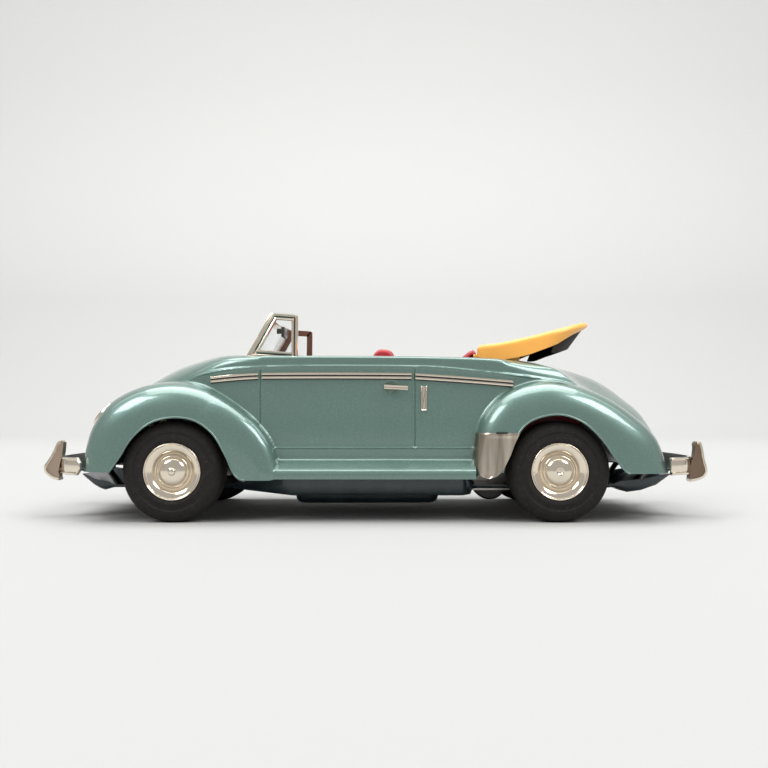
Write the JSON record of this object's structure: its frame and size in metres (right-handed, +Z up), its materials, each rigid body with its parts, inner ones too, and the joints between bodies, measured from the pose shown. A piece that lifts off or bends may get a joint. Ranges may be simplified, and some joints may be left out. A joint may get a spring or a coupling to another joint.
{
  "type": "friction toy car",
  "caption": "Pressed tin convertible toy car with plated trim, a folded top and a friction motor geared to its rear axle.",
  "frame": {"origin": "on the ground under the middle of the car, bumper to bumper", "axes": "-X is the car's front, +Y the car's right side, +Z up"},
  "size_m": [0.19, 0.0724, 0.0581],
  "materials": {
    "teal_paint": "metallic gloss",
    "pan_paint": "gloss",
    "red_litho": "gloss",
    "dash_paint": "gloss",
    "wheel_plastic": "gloss",
    "orange_paint": "satin",
    "clear_sheet": "clear",
    "red_lamp": "gloss",
    "tyre_rubber": "matte",
    "bright_steel": "drawn",
    "motor_steel": "stamped",
    "gear_brass": "machined",
    "flywheel_black": "gloss black",
    "nickel": "nickel plate"
  },
  "bodies": {
    "car": {"base_pan": "pan_paint", "body_shell": "teal_paint", "cabin_tub": "red_litho", "dashboard": "dash_paint", "door_handle_left": "nickel", "door_handle_right": "nickel", "folded_top": "orange_paint", "front_bumper": "nickel", "front_bumper_brackets": "nickel", "front_overrider_left": "nickel", "front_overrider_right": "nickel", "front_seat_left": "red_litho", "front_seat_right": "red_litho", "headlight_bezel_left": "nickel", "headlight_bezel_right": "nickel", "headlight_lens_left": "clear_sheet", "headlight_lens_right": "clear_sheet", "motor_plate_left": "motor_steel", "motor_plate_right": "motor_steel", "motor_spacers": "bright_steel", "quarter_panes": "clear_sheet", "rear_bumper": "nickel", "rear_bumper_brackets": "nickel", "rear_overrider_left": "nickel", "rear_overrider_right": "nickel", "rear_seat": "red_litho", "rear_view_mirror": "nickel", "semaphore_left": "nickel", "semaphore_right": "nickel", "steering_column": "bright_steel", "steering_wheel": "wheel_plastic", "stone_guard_left": "nickel", "stone_guard_right": "nickel", "tail_lights": "red_lamp", "top_boot": "orange_paint", "trim_door_left": "nickel", "trim_door_right": "nickel", "trim_fender_left": "nickel", "trim_fender_right": "nickel", "trim_rear_left": "nickel", "trim_rear_right": "nickel", "windshield_frame": "nickel", "windshield_pane": "clear_sheet"},
    "front_wheels": {"front_axle": "bright_steel", "front_axle_collars": "bright_steel", "front_hub_left": "nickel", "front_hub_right": "nickel", "front_tyre_left": "tyre_rubber", "front_tyre_right": "tyre_rubber"},
    "rear_wheels": {"axle_gear": "gear_brass", "rear_axle": "bright_steel", "rear_hub_left": "nickel", "rear_hub_right": "nickel", "rear_tyre_left": "tyre_rubber", "rear_tyre_right": "tyre_rubber"},
    "idler": {"idler_arbor": "bright_steel", "idler_gear": "gear_brass"},
    "flywheel_group": {"flywheel": "flywheel_black", "flywheel_arbor": "bright_steel", "flywheel_pinion": "gear_brass"}
  },
  "joints": [
    {"name": "front_axle_spin", "type": "hinge", "parent": "car", "child": "front_wheels", "pos_m": [-0.0552, 0, 0.0138], "axis": [0, 1, 0], "continuous": true},
    {"name": "rear_axle_spin", "type": "hinge", "parent": "car", "child": "rear_wheels", "pos_m": [0.05, 0, 0.0138], "axis": [0, 1, 0], "continuous": true},
    {"name": "idler_spin", "type": "hinge", "parent": "car", "child": "idler", "pos_m": [0.04101, 0, 0.01412], "axis": [0, 1, 0], "continuous": true},
    {"name": "flywheel_spin", "type": "hinge", "parent": "car", "child": "flywheel_group", "pos_m": [0.0343, 0, 0.0089], "axis": [0, 1, 0], "continuous": true}
  ],
  "couplings": [
    {"joint": "idler_spin", "follows": "rear_axle_spin", "ratio": -2.6},
    {"joint": "flywheel_spin", "follows": "rear_axle_spin", "ratio": 6.24}
  ]
}
